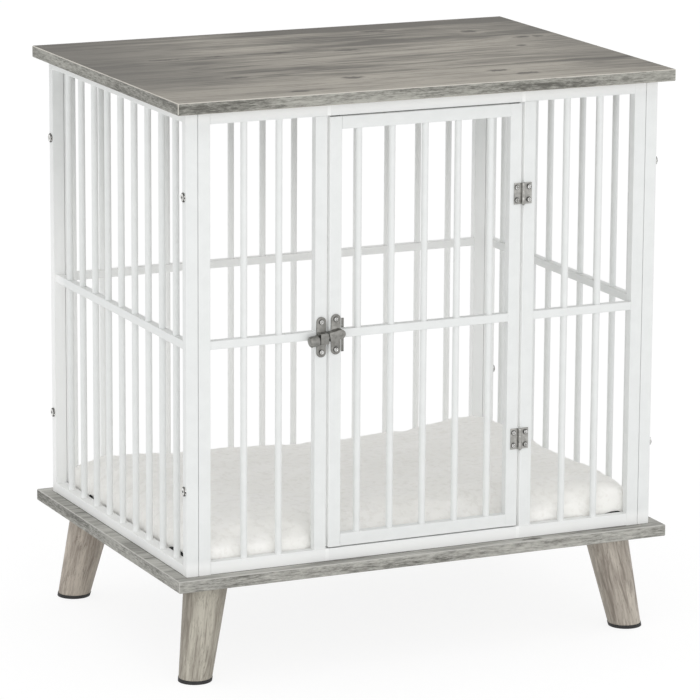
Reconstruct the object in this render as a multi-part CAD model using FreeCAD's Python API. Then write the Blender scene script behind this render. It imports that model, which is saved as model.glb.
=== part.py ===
import FreeCAD, Part
import math
import os

# Dog crate end table, in mm. The origin is on the floor under the middle of the table,
# +Z is up, the door faces -Y and its hinges are on the +X side.

# How far the tool of a cut runs past the faces it goes through
overrun = 1.0

# Boards
board_width = 640.0
board_depth = 465.0
top_thickness = 14.0
base_thickness = 14.0
board_ease = 0.8

# Legs: where a leg's axis meets the base board, and how far it splays on its way down
leg_height = 118.0
leg_inset_x = 55.5
leg_inset_y = 52.0
leg_splay_x = 21.5
leg_splay_y = 16.0
leg_top_radius = 26.5
leg_bottom_radius = 19.5
foot_pad_thickness = 4.2
foot_pad_rim = 0.5

# Cage
overhang_x = 15.5
overhang_y = 15.5
cage_height = 546.0
tube_face = 15.0
tube_depth = 11.0
side_rail_height = 12.0
mid_rail_size = 10.0
tube_wall = 1.0
mid_rail_wall = 0.8
tube_corner = 0.8
frame_gap = 0.5
bar_radius = 4.0
bar_wall = 0.8
bar_clearance = 0.1
side_bar_count = 9
side_bar_pitch = 42.4
back_bar_count = 12
back_bar_pitch = 43.3
front_bar_count = 2
door_bar_count = 5
door_bar_pitch = 42.7

# Door
door_width = 247.6
door_side_gap = 3.6
door_end_gap = 1.5

# Hinges
hinge_height = 25.4
hinge_offset = 107.5
leaf_width = 11.5
leaf_thickness = 1.2
knuckle_radius = 2.4
knuckle_gap = 0.15
hinge_pin_radius = 1.3
hinge_pin_clearance = 0.06
hinge_pin_tail = 1.4
hinge_screw_reach = 8.0
hinge_screw_spacing = 15.5

# Latch: the bolt and its socket lie out of level, with the knob lower
latch_plate_width = 12.0
latch_plate_height = 48.0
latch_plate_thickness = 1.5
latch_screw_spacing = 36.0
latch_plate_drop = 1.9
latch_tilt = 11.0
latch_axis_standoff = 7.4
latch_axis_drop = 2.3
housing_length = 10.4
housing_height = 13.0
housing_wall = 1.6
housing_corner = 1.0
latch_pin_radius = 3.0
latch_pin_clearance = 0.2
knob_radius = 6.4
knob_length = 11.5
knob_dome = 2.4
knob_gap = 0.4
knob_socket_depth = 7.5
socket_height = 11.0
socket_wall = 1.0
socket_gap = 1.8
socket_length = 20.0
socket_end_wall = 3.4
pin_end_gap = 0.4
dimple_radius = 1.5
dimple_height = 0.6
dimple_spacing = 12.0
dimple_inset = 2.6
stop_plate_height = 40.0
stop_plate_overlap = 8.4
stop_plate_inset = 2.0
stop_plate_drop = 4.2
stop_plate_gap = 0.2
stop_screw_spacing = 20.0

# Small screws of the hinges, latch and stop plate
small_screw_radius = 1.45
small_screw_length = 7.0
small_head_radius = 3.2
small_head_height = 1.3
small_recess = (0.7, 3.6, 0.7)
screw_clearance = 0.05

# Bolts that join the side frames to the front and back frames
bolt_radius = 2.5
bolt_clearance = 0.1
bolt_head_radius = 5.75
bolt_head_height = 2.4
bolt_socket_radius = 1.7
bolt_socket_depth = 1.4
bolt_end = 1.5
bolt_low_height = 102.0
bolt_high_height = 448.0
nut_size = 7.6
nut_thickness = 4.0

# Screws between the boards, the cage and the legs
board_screw_radius = 2.0
board_screw_bite = 9.0
board_head_radius = 4.0
board_head_height = 2.2
board_recess = (1.0, 4.4, 1.2)
board_screw_steps = 3.5
leg_screw_radius = 4.0
leg_screw_bite = 46.0
leg_head_radius = 7.5
leg_head_height = 3.5
leg_recess = (1.6, 7.5, 1.8)
pilot_end_gap = 0.5
wood_clearance = 0.1

# Cushion
cushion_clearance = 2.5
cushion_lift = 0.3
underside_thickness = 1.0
cushion_bottom_inset = 3.0
cushion_widest_height = 18.0
cushion_crown_height = 47.0
cushion_crown_inset = 60.0
cushion_side_sections = 3
cushion_top_sections = 9
side_curve = 2.0
shoulder_curve = 2.6
crown_curve = 2.6
cushion_draw = 3.5
cushion_corner = 20.0

# Worked out from the values above
base_top = leg_height + base_thickness
cage_top = base_top + cage_height
half_width = board_width / 2 - overhang_x
half_depth = board_depth / 2 - overhang_y
side_inner = half_width - tube_face
front_half = side_inner - frame_gap
front_inner = front_half - tube_face
depth_centre = half_depth - tube_depth / 2
depth_inner = half_depth - tube_depth
rail_low = base_top + tube_face
rail_high = cage_top - tube_face
mid_z = base_top + cage_height / 2
door_half = door_width / 2
post_inner = door_half + door_side_gap
post_outer = post_inner + tube_face
door_inner = door_half - tube_face
door_low = rail_low + door_end_gap
door_high = rail_high - door_end_gap
front = -half_depth
hinge_x = door_half + door_side_gap / 2
hinge_y = front - knuckle_radius - hinge_pin_clearance
hinge_heights = (door_low + hinge_offset, door_high - hinge_offset)
latch_x = -(post_inner + post_outer) / 2
keeper_x = -(door_half + door_inner) / 2
latch_y = front - latch_axis_standoff
latch_z = mid_z - latch_axis_drop
plate_heights = {latch_x: mid_z - latch_plate_drop, keeper_x: mid_z}
X, Y, Z = range(3)


def vector(x, y, z):
    return FreeCAD.Vector(x, y, z)


def box(low, high):
    size = [h - l for l, h in zip(low, high)]
    return Part.makeBox(*size, vector(*low))


def rod(radius, start, end):
    start, end = vector(*start), vector(*end)
    return Part.makeCylinder(radius, (end - start).Length, start, end - start)


def edges_along(shape, axis):
    """The straight edges of a shape that run along one axis."""
    chosen = []
    for edge in shape.Edges:
        run = edge.Vertexes[-1].Point - edge.Vertexes[0].Point
        if edge.Curve.TypeId == "Part::GeomLine" and abs(run[axis]) > 0.999 * run.Length:
            chosen.append(edge)
    return chosen


def tube(low, high, axis, wall):
    """Rectangular tube along an axis, with its four long edges rounded."""
    outer = box(low, high)
    outer = outer.makeFillet(tube_corner, edges_along(outer, axis))
    inner_low = [c if i == axis else c + wall for i, c in enumerate(low)]
    inner_high = [c if i == axis else c - wall for i, c in enumerate(high)]
    return outer.cut(box(inner_low, inner_high))


def on_panel(width_axis, along, depth, z):
    """A point of a panel that runs along X or Y."""
    return (along, depth, z) if width_axis == X else (depth, along, z)


def panel_tube(width_axis, along, depth, height, axis, wall=tube_wall):
    low = on_panel(width_axis, along[0], depth[0], height[0])
    high = on_panel(width_axis, along[1], depth[1], height[1])
    return tube(low, high, axis, wall)


def spread(count, pitch, centre=0.0):
    return [centre + pitch * (i - (count - 1) / 2) for i in range(count)]


def bars(width_axis, places, depth, height):
    """Round tubes between a panel's bottom and top rail."""
    solids = []
    for along in places:
        start = on_panel(width_axis, along, depth, height[0])
        end = on_panel(width_axis, along, depth, height[1])
        solids.append(rod(bar_radius, start, end).cut(rod(bar_radius - bar_wall, start, end)))
    return solids


def mid_rail(width_axis, along, depth, places):
    """Slim rail at half the cage's height, with a hole for each bar."""
    half = mid_rail_size / 2
    rail = panel_tube(width_axis, along, (depth - half, depth + half),
                      (mid_z - half, mid_z + half), width_axis, mid_rail_wall)
    for place in places:
        start = on_panel(width_axis, place, depth, mid_z - mid_rail_size)
        end = on_panel(width_axis, place, depth, mid_z + mid_rail_size)
        rail = rail.cut(rod(bar_radius + bar_clearance, start, end))
    return rail


def drill(shape, radius, points, axis, start, end):
    """Round holes along an axis, from one coordinate on it to another."""
    for point in points:
        low, high = list(point), list(point)
        low[axis], high[axis] = start, end
        shape = shape.cut(rod(radius, low, high))
    return shape


def turned(shape, seat, direction):
    """A piece drawn along +Z from the origin, placed at its seat."""
    rotation = FreeCAD.Rotation(vector(0, 0, 1), vector(*direction))
    placed = shape.copy()
    placed.Placement = FreeCAD.Placement(vector(*seat), rotation)
    return placed


def round_head(radius, height):
    """Domed head below the origin."""
    head = Part.makeCylinder(radius, height, vector(0, 0, -height))
    rim = [e for e in head.Edges if e.Closed and e.CenterOfMass.z < -height / 2]
    return head.makeFillet(height * 0.75, rim)


def flat_head(radius, shank, height):
    """Countersunk head above the origin, with its flat face at the origin."""
    return Part.makeCone(radius, shank, height)


def cross_recess(recess, top):
    width, length, depth = recess
    across = box((-length / 2, -width / 2, top), (length / 2, width / 2, top + depth))
    along = box((-width / 2, -length / 2, top), (width / 2, length / 2, top + depth))
    return across.fuse(along)


def pan_screw(shank, length, head, head_height, recess):
    """Pan-head screw: its seat is the origin and its shank runs along +Z."""
    body = round_head(head, head_height).fuse(Part.makeCylinder(shank, length))
    return body.removeSplitter().cut(cross_recess(recess, -head_height))


def wood_screw(shank, length, head, head_height, recess):
    """Countersunk screw: its flat face is at the origin and its shank runs along +Z."""
    body = Part.makeCylinder(shank, length).fuse(flat_head(head, shank, head_height))
    return body.removeSplitter().cut(cross_recess(recess, 0.0))


def frame_bolt(length):
    """Button-head bolt with a hex socket."""
    bolt = round_head(bolt_head_radius, bolt_head_height).fuse(
        Part.makeCylinder(bolt_radius, length)).removeSplitter()
    corners = [vector(bolt_socket_radius * math.cos(math.radians(60 * i)),
                      bolt_socket_radius * math.sin(math.radians(60 * i)),
                      -bolt_head_height) for i in range(7)]
    hexagon = Part.Face(Part.makePolygon(corners))
    return bolt.cut(hexagon.extrude(vector(0, 0, bolt_socket_depth)))


# Places of the fasteners
bolt_heights = (base_top + bolt_low_height, base_top + bolt_high_height)
bolt_places = [(sx, sy * depth_centre, z) for sx in (-1, 1) for sy in (-1, 1)
               for z in bolt_heights]
side_depth = half_width - tube_face / 2
board_screw_places = [(sx * side_depth, sy * board_screw_steps * side_bar_pitch)
                      for sx in (-1, 1) for sy in (-1, 1)]
leg_tops = {"front_left": (-1, -1), "front_right": (1, -1),
            "back_left": (-1, 1), "back_right": (1, 1)}
leg_x = board_width / 2 - leg_inset_x
leg_y = board_depth / 2 - leg_inset_y


def hinge_screws(side):
    """Seats of one leaf's screws in both hinges, on the frame's side (1) or the door's (-1)."""
    return [(hinge_x + side * hinge_screw_reach, front - leaf_thickness, z + dz)
            for z in hinge_heights for dz in (-hinge_screw_spacing / 2, hinge_screw_spacing / 2)]


def latch_screws(x):
    return [(x, front - latch_plate_thickness, plate_heights[x] + dz)
            for dz in (-latch_screw_spacing / 2, latch_screw_spacing / 2)]


stop_back = front + tube_depth + stop_plate_gap + latch_plate_thickness
stop_z = mid_z - stop_plate_drop
stop_screws = [(latch_x, stop_back, stop_z + dz)
               for dz in (-stop_screw_spacing / 2, stop_screw_spacing / 2)]
small_hole = small_screw_radius + screw_clearance


def eased_board(low_z, high_z):
    board = box((-board_width / 2, -board_depth / 2, low_z),
                (board_width / 2, board_depth / 2, high_z))
    return board.makeChamfer(board_ease, board.Edges)


def boards():
    top = eased_board(cage_top, cage_top + top_thickness)
    top = drill(top, board_screw_radius + wood_clearance,
                [(x, y, 0) for x, y in board_screw_places], Z,
                cage_top - overrun, cage_top + board_screw_bite + pilot_end_gap)
    base = eased_board(leg_height, base_top)
    for x, y in board_screw_places:
        sink = flat_head(board_head_radius + wood_clearance,
                         board_screw_radius + wood_clearance, board_head_height)
        base = base.cut(turned(sink, (x, y, leg_height), (0, 0, 1)))
    base = drill(base, board_screw_radius + wood_clearance,
                 [(x, y, 0) for x, y in board_screw_places], Z,
                 leg_height - overrun, base_top + overrun)
    for sx, sy in leg_tops.values():
        sink = flat_head(leg_head_radius + wood_clearance,
                         leg_screw_radius + wood_clearance, leg_head_height)
        base = base.cut(turned(sink, (sx * leg_x, sy * leg_y, base_top), (0, 0, -1)))
    base = drill(base, leg_screw_radius + wood_clearance,
                 [(sx * leg_x, sy * leg_y, 0) for sx, sy in leg_tops.values()], Z,
                 leg_height - overrun, base_top + overrun)
    return {"top_board": top, "base_board": base}


def leg_cone(sx, sy, extra):
    """The leg's turned body, run past both ends along its splayed axis."""
    top = vector(sx * leg_x, sy * leg_y, leg_height)
    bottom = vector(sx * (leg_x + leg_splay_x), sy * (leg_y + leg_splay_y), 0)
    run = bottom - top
    length = run.Length
    taper = (leg_bottom_radius - leg_top_radius) / length
    past = leg_top_radius
    start = top - run * (past / length)
    return Part.makeCone(leg_top_radius - taper * past + extra,
                         leg_bottom_radius + taper * past + extra,
                         length + 2 * past, start, run)


def slab(low_z, high_z):
    return box((-board_width, -board_depth, low_z), (board_width, board_depth, high_z))


def legs():
    nodes = {}
    for name, (sx, sy) in leg_tops.items():
        leg = leg_cone(sx, sy, 0.0).common(slab(foot_pad_thickness, leg_height))
        nodes["leg_" + name] = drill(leg, leg_screw_radius + wood_clearance,
                                     [(sx * leg_x, sy * leg_y, 0)], Z,
                                     leg_height - leg_screw_bite - pilot_end_gap,
                                     leg_height + overrun)
        nodes["foot_pad_" + name] = leg_cone(sx, sy, foot_pad_rim).common(
            slab(0.0, foot_pad_thickness))
    screw = wood_screw(leg_screw_radius, base_thickness + leg_screw_bite,
                       leg_head_radius, leg_head_height, leg_recess)
    nodes["leg_screws"] = [turned(screw, (sx * leg_x, sy * leg_y, base_top), (0, 0, -1))
                           for sx, sy in leg_tops.values()]
    return nodes


def side_frame(name, sign):
    depth = sorted((sign * half_width, sign * side_inner))
    centre = sign * side_depth
    places = spread(side_bar_count, side_bar_pitch)
    low = base_top + side_rail_height
    high = cage_top - side_rail_height
    full = (base_top, cage_top)
    stiles = {"front_stile": (-half_depth, -depth_inner), "back_stile": (depth_inner, half_depth)}
    nodes = {}
    for part, along in stiles.items():
        stile = panel_tube(Y, along, depth, full, Z)
        holes = [p for p in bolt_places if p[0] == sign and along[0] < p[1] < along[1]]
        nodes[part] = drill(stile, bolt_radius + bolt_clearance, holes, X,
                            sign * (side_inner - overrun), sign * (half_width + overrun))
    between = (-depth_inner, depth_inner)
    holes = [(x, y, 0) for x, y in board_screw_places if x * sign > 0]
    top_rail = panel_tube(Y, between, depth, (high, cage_top), Y)
    nodes["top_rail"] = drill(top_rail, board_screw_radius + screw_clearance, holes, Z,
                              high - overrun, cage_top + overrun)
    bottom_rail = panel_tube(Y, between, depth, (base_top, low), Y)
    nodes["bottom_rail"] = drill(bottom_rail, board_screw_radius + screw_clearance, holes, Z,
                                 base_top - overrun, base_top + 2 * tube_wall)
    nodes["mid_rail"] = mid_rail(Y, between, centre, places)
    nodes["bars"] = bars(Y, places, centre, (low, high))
    return {name + "_" + part: shape for part, shape in nodes.items()}


def end_stiles(sy):
    """The end stiles of the front or back frame, drilled for the panel bolts."""
    depth = sorted((sy * depth_inner, sy * half_depth))
    nodes = {}
    for side, sx in (("left", -1), ("right", 1)):
        along = sorted((sx * front_inner, sx * front_half))
        stile = panel_tube(X, along, depth, (base_top, cage_top), Z)
        holes = [p for p in bolt_places if p[0] == sx and p[1] * sy > 0]
        nodes[side + "_stile"] = drill(stile, bolt_radius + bolt_clearance, holes, X,
                                       sx * (front_half - 2 * tube_wall),
                                       sx * (front_half + overrun))
    return nodes, depth


def rails(half_length, depth, low, high):
    """Top and bottom rail that fill the height between two levels."""
    along = (-half_length, half_length)
    return {"top_rail": panel_tube(X, along, depth, (high - tube_face, high), X),
            "bottom_rail": panel_tube(X, along, depth, (low, low + tube_face), X)}


def back_frame():
    nodes, depth = end_stiles(1)
    nodes.update(rails(front_inner, depth, base_top, cage_top))
    places = spread(back_bar_count, back_bar_pitch)
    nodes["mid_rail"] = mid_rail(X, (-front_inner, front_inner), depth_centre, places)
    nodes["bars"] = bars(X, places, depth_centre, (rail_low, rail_high))
    return {"back_frame_" + part: shape for part, shape in nodes.items()}


def front_frame():
    nodes, depth = end_stiles(-1)
    nodes.update(rails(front_inner, depth, base_top, cage_top))
    posts = {"latch_post": -1, "hinge_post": 1}
    for part, sx in posts.items():
        along = sorted((sx * post_inner, sx * post_outer))
        nodes[part] = panel_tube(X, along, depth, (rail_low, rail_high), Z)
    nodes["latch_post"] = drill(nodes["latch_post"], small_hole, latch_screws(latch_x), Y,
                                front - overrun, front + 2 * tube_wall)
    nodes["latch_post"] = drill(nodes["latch_post"], small_hole, stop_screws, Y,
                                front + tube_depth - 2 * tube_wall,
                                front + tube_depth + overrun)
    nodes["hinge_post"] = drill(nodes["hinge_post"], small_hole, hinge_screws(1), Y,
                                front - overrun, front + 2 * tube_wall)
    pitch = (front_inner - post_outer) / (front_bar_count + 1)
    middle = (front_inner + post_outer) / 2
    all_places = []
    for side, sx in (("left", -1), ("right", 1)):
        along = sorted((sx * post_outer, sx * front_inner))
        places = spread(front_bar_count, pitch, sx * middle)
        all_places += places
        nodes[side + "_mid_rail"] = mid_rail(X, along, -depth_centre, places)
    nodes["bars"] = bars(X, all_places, -depth_centre, (rail_low, rail_high))
    return {"front_frame_" + part: shape for part, shape in nodes.items()}


def door():
    depth = (-half_depth, -depth_inner)
    nodes = rails(door_inner, depth, door_low, door_high)
    for part, sx in (("latch_stile", -1), ("hinge_stile", 1)):
        along = sorted((sx * door_inner, sx * door_half))
        nodes[part] = panel_tube(X, along, depth, (door_low, door_high), Z)
    nodes["latch_stile"] = drill(nodes["latch_stile"], small_hole, latch_screws(keeper_x), Y,
                                 front - overrun, front + 2 * tube_wall)
    nodes["hinge_stile"] = drill(nodes["hinge_stile"], small_hole, hinge_screws(-1), Y,
                                 front - overrun, front + 2 * tube_wall)
    places = spread(door_bar_count, door_bar_pitch)
    nodes["mid_rail"] = mid_rail(X, (-door_inner, door_inner), -depth_centre, places)
    nodes["bars"] = bars(X, places, -depth_centre,
                         (door_low + tube_face, door_high - tube_face))
    return {"door_" + part: shape for part, shape in nodes.items()}


def hinge_leaf(z, side):
    """A leaf with its knuckles: the outer two on the frame's side, the middle one on the door's."""
    low, high = z - hinge_height / 2, z + hinge_height / 2
    x_ends = sorted((hinge_x, hinge_x + side * leaf_width))
    leaf = box((x_ends[0], front - leaf_thickness, low), (x_ends[1], front, high))
    leaf = leaf.fuse(rod(knuckle_radius, (hinge_x, hinge_y, low), (hinge_x, hinge_y, high)))
    third = hinge_height / 3
    if side > 0:
        lost = [(low + third - knuckle_gap / 2, high - third + knuckle_gap / 2)]
    else:
        lost = [(low - overrun, low + third + knuckle_gap / 2),
                (high - third - knuckle_gap / 2, high + overrun)]
    room = knuckle_radius + 2 * knuckle_gap
    for start, end in lost:
        leaf = leaf.cut(rod(room, (hinge_x, hinge_y, start), (hinge_x, hinge_y, end)))
    bore = hinge_pin_radius + hinge_pin_clearance
    leaf = leaf.cut(rod(bore, (hinge_x, hinge_y, low - overrun),
                        (hinge_x, hinge_y, high + overrun)))
    holes = [p for p in hinge_screws(side) if abs(p[2] - z) < hinge_height]
    return drill(leaf.removeSplitter(), small_hole, holes, Y,
                 front - leaf_thickness - overrun, front + overrun)


def hinges():
    pins = [rod(hinge_pin_radius, (hinge_x, hinge_y, z - hinge_height / 2 - hinge_pin_tail),
                (hinge_x, hinge_y, z + hinge_height / 2)) for z in hinge_heights]
    return {"hinge_leaves_frame": [hinge_leaf(z, 1) for z in hinge_heights],
            "hinge_leaves_door": [hinge_leaf(z, -1) for z in hinge_heights],
            "hinge_pins": pins}


def latch_plate(x):
    """Plate with round ends and two screw holes, flat on a stile."""
    radius = latch_plate_width / 2
    straight = latch_plate_height / 2 - radius
    back, face = front, front - latch_plate_thickness
    low, high = plate_heights[x] - straight, plate_heights[x] + straight
    plate = box((x - radius, face, low), (x + radius, back, high))
    for end in (low, high):
        plate = plate.fuse(rod(radius, (x, face, end), (x, back, end)))
    return drill(plate.removeSplitter(), small_hole, latch_screws(x), Y,
                 face - overrun, back + overrun)


def on_bolt_axis(shape):
    """A piece drawn along X about the origin, placed on the latch's tilted axis."""
    placed = shape.copy()
    placed.rotate(vector(0, 0, 0), vector(0, 1, 0), -latch_tilt)
    placed.translate(vector(latch_x, latch_y, latch_z))
    return placed


def latch_socket(left, face):
    """Blind socket with a round end and two pressed dimples, drawn along X."""
    radius = socket_height / 2
    right = left + socket_length
    centre = right - radius
    back = front - latch_plate_thickness - latch_y
    socket = box((left, face, -radius), (centre, back, radius))
    socket = socket.fuse(rod(radius, (centre, face, 0), (centre, back, 0))).removeSplitter()
    sphere = (dimple_radius ** 2 + dimple_height ** 2) / (2 * dimple_height)
    for x in (left + dimple_inset, left + dimple_inset + dimple_spacing):
        dimple = Part.makeSphere(sphere, vector(x, face - dimple_height + sphere, 0))
        outside = box((x - sphere, face - dimple_height - overrun, -sphere),
                      (x + sphere, face + socket_wall / 2, sphere))
        socket = socket.fuse(dimple.common(outside))
    return socket


def latch():
    bore = latch_pin_radius + latch_pin_clearance
    plate_face = front - latch_plate_thickness
    half = housing_length / 2
    housing = box((latch_x - half, latch_y - bore - housing_wall, latch_z - housing_height / 2),
                  (latch_x + half, plate_face, latch_z + housing_height / 2))
    outer_edges = [e for e in edges_along(housing, X) if e.Vertexes[0].Point.y < latch_y]
    housing = housing.makeFillet(housing_corner, outer_edges)
    body = latch_plate(latch_x).fuse(housing).removeSplitter()
    body = body.cut(on_bolt_axis(rod(bore, (-housing_length, 0, 0), (housing_length, 0, 0))))

    socket_left = half + socket_gap
    pin_tip = socket_left + socket_length - socket_end_wall
    socket = on_bolt_axis(latch_socket(socket_left, -bore - socket_wall))
    keeper = latch_plate(keeper_x).fuse(socket).removeSplitter()
    keeper = keeper.cut(on_bolt_axis(rod(bore, (socket_left - overrun, 0, 0),
                                         (pin_tip + pin_end_gap, 0, 0))))

    knob_right = -half - knob_gap - knob_radius * math.tan(math.radians(latch_tilt))
    knob_left = knob_right - knob_length
    knob = rod(knob_radius, (knob_left, 0, 0), (knob_right, 0, 0))
    end_rim = [e for e in knob.Edges if e.Closed and e.CenterOfMass.x < knob_left + knob_dome]
    knob = knob.makeFillet(knob_dome, end_rim)
    pin_left = knob_right - knob_socket_depth
    knob = knob.cut(rod(latch_pin_radius + screw_clearance, (pin_left, 0, 0),
                        (knob_right + overrun, 0, 0)))
    pin = rod(latch_pin_radius, (pin_left, 0, 0), (pin_tip, 0, 0))

    stop = box((-post_outer + stop_plate_inset, front + tube_depth + stop_plate_gap,
                stop_z - stop_plate_height / 2),
               (-door_inner + stop_plate_overlap, stop_back, stop_z + stop_plate_height / 2))
    stop = drill(stop, small_hole, stop_screws, Y, front + tube_depth - overrun,
                 stop_back + overrun)
    return {"latch_body": body, "latch_keeper": keeper, "latch_knob": on_bolt_axis(knob),
            "latch_pin": on_bolt_axis(pin), "door_stop_plate": stop}


def small_screws():
    into, out = (0, 1, 0), (0, -1, 0)
    screw = pan_screw(small_screw_radius, small_screw_length, small_head_radius,
                      small_head_height, small_recess)
    frame = [turned(screw, p, into) for p in hinge_screws(1) + latch_screws(latch_x)]
    frame += [turned(screw, p, out) for p in stop_screws]
    on_door = [turned(screw, p, into) for p in hinge_screws(-1) + latch_screws(keeper_x)]
    return {"frame_hardware_screws": frame, "door_hardware_screws": on_door}


def panel_fasteners():
    nut_outer = front_half - tube_wall
    nut_inner = nut_outer - nut_thickness
    bolt = frame_bolt(half_width - nut_inner + bolt_end)
    half = nut_size / 2
    bolts, nuts = [], []
    for sx, y, z in bolt_places:
        bolts.append(turned(bolt, (sx * half_width, y, z), (-sx, 0, 0)))
        ends = sorted((sx * nut_outer, sx * nut_inner))
        nut = box((ends[0], y - half, z - half), (ends[1], y + half, z + half))
        nuts.append(drill(nut, bolt_radius + screw_clearance, [(0, y, z)], X,
                          ends[0] - overrun, ends[1] + overrun))
    return {"panel_bolts": bolts, "panel_nuts": nuts}


def board_screws():
    top_seat = cage_top - side_rail_height
    top = pan_screw(board_screw_radius, side_rail_height + board_screw_bite,
                    board_head_radius, board_head_height, board_recess)
    base = wood_screw(board_screw_radius, base_thickness + tube_wall + board_screw_bite / 2,
                      board_head_radius, board_head_height, board_recess)
    return {"top_board_screws": [turned(top, (x, y, top_seat), (0, 0, 1))
                                 for x, y in board_screw_places],
            "base_board_screws": [turned(base, (x, y, leg_height), (0, 0, 1))
                                  for x, y in board_screw_places]}


def cushion_outline(inset, z):
    """Pad outline with round corners, and sides drawn in between them."""
    half_x = side_inner - cushion_clearance - inset
    half_y = depth_inner - cushion_clearance - inset
    straight_x, straight_y = half_x - cushion_corner, half_y - cushion_corner
    on_arc = cushion_corner * math.sqrt(0.5)
    ends = []
    for sx, sy in ((1, 1), (-1, 1), (-1, -1), (1, -1)):
        on_side = vector(sx * half_x, sy * straight_y, z)
        on_front = vector(sx * straight_x, sy * half_y, z)
        middle = vector(sx * (straight_x + on_arc), sy * (straight_y + on_arc), z)
        ends.append((on_side, middle, on_front) if sx * sy > 0 else (on_front, middle, on_side))
    sags = [vector(0, half_y - cushion_draw, z), vector(cushion_draw - half_x, 0, z),
            vector(0, cushion_draw - half_y, z), vector(half_x - cushion_draw, 0, z)]
    edges = []
    for i, (start, middle, end) in enumerate(ends):
        edges.append(Part.Arc(start, middle, end).toShape())
        edges.append(Part.Arc(end, sags[i], ends[(i + 1) % 4][0]).toShape())
    return Part.Wire(edges)


def cushion():
    floor = base_top + cushion_lift + underside_thickness
    rise = cushion_crown_height - cushion_widest_height
    profile = []
    for i in range(cushion_side_sections):
        share = i / cushion_side_sections
        profile.append((cushion_bottom_inset * (1 - share) ** side_curve,
                        cushion_widest_height * share))
    for i in range(cushion_top_sections + 1):
        share = i / cushion_top_sections
        profile.append((cushion_crown_inset * share ** shoulder_curve,
                        cushion_widest_height + rise * (1 - (1 - share) ** crown_curve)))
    pad = Part.makeLoft([cushion_outline(inset, floor + height) for inset, height in profile],
                        True, True)
    bottom = Part.Face(cushion_outline(cushion_bottom_inset, floor))
    underside = bottom.extrude(vector(0, 0, -underside_thickness))
    return {"cushion": pad, "cushion_underside": underside}


def build():
    nodes = {}
    for group in (boards(), legs(), side_frame("left_frame", -1), side_frame("right_frame", 1),
                  back_frame(), front_frame(), door(), hinges(), latch(), small_screws(),
                  panel_fasteners(), board_screws(), cushion()):
        nodes.update(group)
    return nodes


os.makedirs("parts", exist_ok=True)
for node, shape in build().items():
    if isinstance(shape, list):
        shape = Part.makeCompound(shape)
    if not shape.isValid() or shape.Volume <= 0 or not shape.Solids:
        raise RuntimeError(node + " is not a sound solid")
    print(f"{node:32s} {len(shape.Solids):3d} solids {shape.Volume / 1000:9.2f} cm3")
    shape.exportStep("parts/" + node + ".step")
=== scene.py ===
import math

import bpy
from mathutils import Matrix, Vector, noise


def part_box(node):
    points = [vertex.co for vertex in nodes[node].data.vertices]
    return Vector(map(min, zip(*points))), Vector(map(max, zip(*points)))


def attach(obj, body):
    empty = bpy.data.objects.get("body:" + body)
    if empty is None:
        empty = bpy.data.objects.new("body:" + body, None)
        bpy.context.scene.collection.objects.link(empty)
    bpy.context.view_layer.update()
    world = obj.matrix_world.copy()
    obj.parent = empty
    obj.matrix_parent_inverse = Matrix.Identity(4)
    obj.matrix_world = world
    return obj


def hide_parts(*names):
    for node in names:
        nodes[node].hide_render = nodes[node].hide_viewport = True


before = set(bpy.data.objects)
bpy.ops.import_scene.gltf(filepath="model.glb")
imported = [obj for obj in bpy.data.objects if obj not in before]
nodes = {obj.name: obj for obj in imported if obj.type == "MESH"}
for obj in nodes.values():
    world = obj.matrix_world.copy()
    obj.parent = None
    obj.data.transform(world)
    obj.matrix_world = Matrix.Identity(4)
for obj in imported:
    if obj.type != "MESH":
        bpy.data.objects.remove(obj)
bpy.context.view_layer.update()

scene = bpy.context.scene
bpy.ops.object.select_all(action="DESELECT")
print("frame loaded:", len(nodes), "nodes")

# The camera stands where the photographer's did
cameraSetup = {"place": (-2.1464, -4.6411, 1.4965), "azimuth": -24.85, "elevation": 12.85,
               "roll": 0.343, "lens": 220.4, "sensor": 36.0, "farthest": 40.0}


def makeCamera(setup):
    data = bpy.data.cameras.new("productCamera")
    data.lens = setup["lens"]
    data.sensor_width = setup["sensor"]
    data.clip_end = setup["farthest"]
    camera = bpy.data.objects.new("productCamera", data)
    turn = (Matrix.Rotation(math.radians(setup["azimuth"]), 4, "Z")
            @ Matrix.Rotation(math.radians(90 - setup["elevation"]), 4, "X")
            @ Matrix.Rotation(math.radians(setup["roll"]), 4, "Z"))
    camera.matrix_world = Matrix.Translation(setup["place"]) @ turn
    scene.collection.objects.link(camera)
    scene.camera = camera


makeCamera(cameraSetup)


def srgb(red, green, blue):
    # a colour as a paint chart gives it, 0 to 255
    return tuple(((c / 255 + 0.055) / 1.055) ** 2.4 for c in (red, green, blue))


def feed(tree, socket, value):
    # a number, a colour or another node's output into a socket
    if isinstance(value, bpy.types.NodeSocket):
        tree.links.new(value, socket)
    elif isinstance(value, tuple) and len(value) == 3 and len(socket.default_value) == 4:
        socket.default_value = (*value, 1)
    else:
        socket.default_value = value


def addNode(tree, kind, **values):
    node = tree.nodes.new(kind)
    for name, value in values.items():
        if name in node.inputs:
            feed(tree, node.inputs[name], value)
        else:
            setattr(node, name, value)
    return node


def calc(tree, operation, *values):
    node = tree.nodes.new("ShaderNodeMath")
    node.operation = operation
    for socket, value in zip(node.inputs, values):
        feed(tree, socket, value)
    return node.outputs[0]


def addSwing(tree, value, strength, base):
    # a value's swing about its middle of 0.5, times a strength, on top of a base
    return calc(tree, "MULTIPLY_ADD", calc(tree, "SUBTRACT", value, 0.5), strength, base)


def vectorCalc(tree, operation, first, second):
    node = tree.nodes.new("ShaderNodeVectorMath")
    node.operation = operation
    feed(tree, node.inputs[0], first)
    feed(tree, node.inputs[1], second)
    return node.outputs["Value"] if operation == "LENGTH" else node.outputs["Vector"]


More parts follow.
